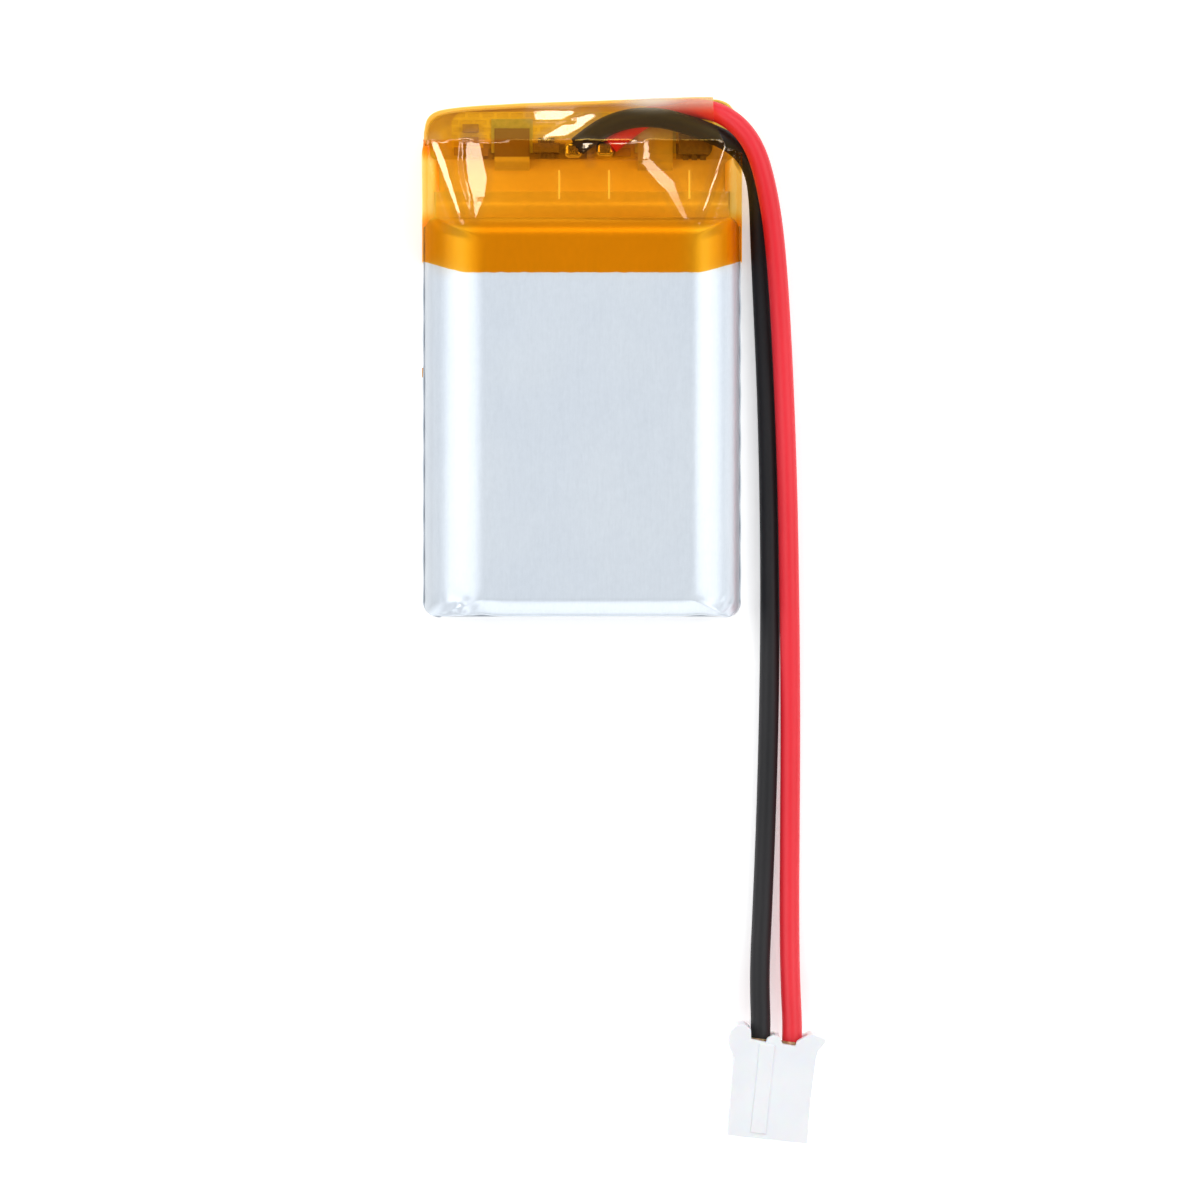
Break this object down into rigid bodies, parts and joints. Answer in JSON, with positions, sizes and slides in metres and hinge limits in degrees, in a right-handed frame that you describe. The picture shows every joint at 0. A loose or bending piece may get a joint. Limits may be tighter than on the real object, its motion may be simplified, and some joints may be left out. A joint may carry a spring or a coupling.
{
  "type": "lithium-polymer battery pack",
  "caption": "Small flat pouch-cell battery with a taped protection circuit and a red and a black lead to a white crimp connector.",
  "frame": {"origin": "middle of the flat back face of the pack, without its leads and connector", "axes": "+X across the pack's width towards the side where the leads lie, +Y along its length towards the taped tab end, +Z through its thickness from the flat back to the front"},
  "size_m": [0.0252, 0.0654, 0.006],
  "materials": {
    "laminate": "satin, brushed foil laminate",
    "amber_film": "glossy see-through polyimide",
    "cathode": "matte coated foil",
    "anode": "matte graphite-coated foil",
    "separator": "matte white film",
    "roll_film": "green adhesive film",
    "aluminium_tab": "bright rolled foil",
    "nickel": "bright rolled nickel",
    "sealant": "translucent film",
    "board": "green solder mask",
    "chip": "matte moulding",
    "ceramic_chip": "fired ceramic with tinned ends",
    "solder": "bright tin alloy",
    "paper": "matte insulating paper",
    "red_pvc": "semi-gloss insulation",
    "black_pvc": "semi-gloss insulation",
    "tinned_copper": "stranded tinned copper",
    "nylon": "satin natural nylon",
    "contact": "tin-plated phosphor bronze"
  },
  "bodies": {
    "root": {"pouch_front_cup": "laminate", "pouch_back_sheet": "laminate", "cathode_strip": "cathode", "anode_strip": "anode", "separator_inner": "separator", "separator_outer": "separator", "roll_tape": "roll_film", "positive_tab": "aluminium_tab", "negative_tab": "nickel", "positive_tab_sealant": "sealant", "negative_tab_sealant": "sealant", "pcm_board": "board", "insulation_paper": "paper", "positive_weld_pad": "nickel", "negative_weld_pad": "nickel", "protection_ic": "chip", "mosfet_pair": "chip", "chip_resistors": "ceramic_chip", "chip_capacitors": "ceramic_chip", "red_solder_joint": "solder", "black_solder_joint": "solder", "red_lead": "red_pvc", "black_lead": "black_pvc", "red_conductor": "tinned_copper", "black_conductor": "tinned_copper", "connector_housing": "nylon", "red_terminal": "contact", "black_terminal": "contact", "polyimide_tape": "amber_film", "wing_tape": "amber_film"}
  },
  "joints": []
}
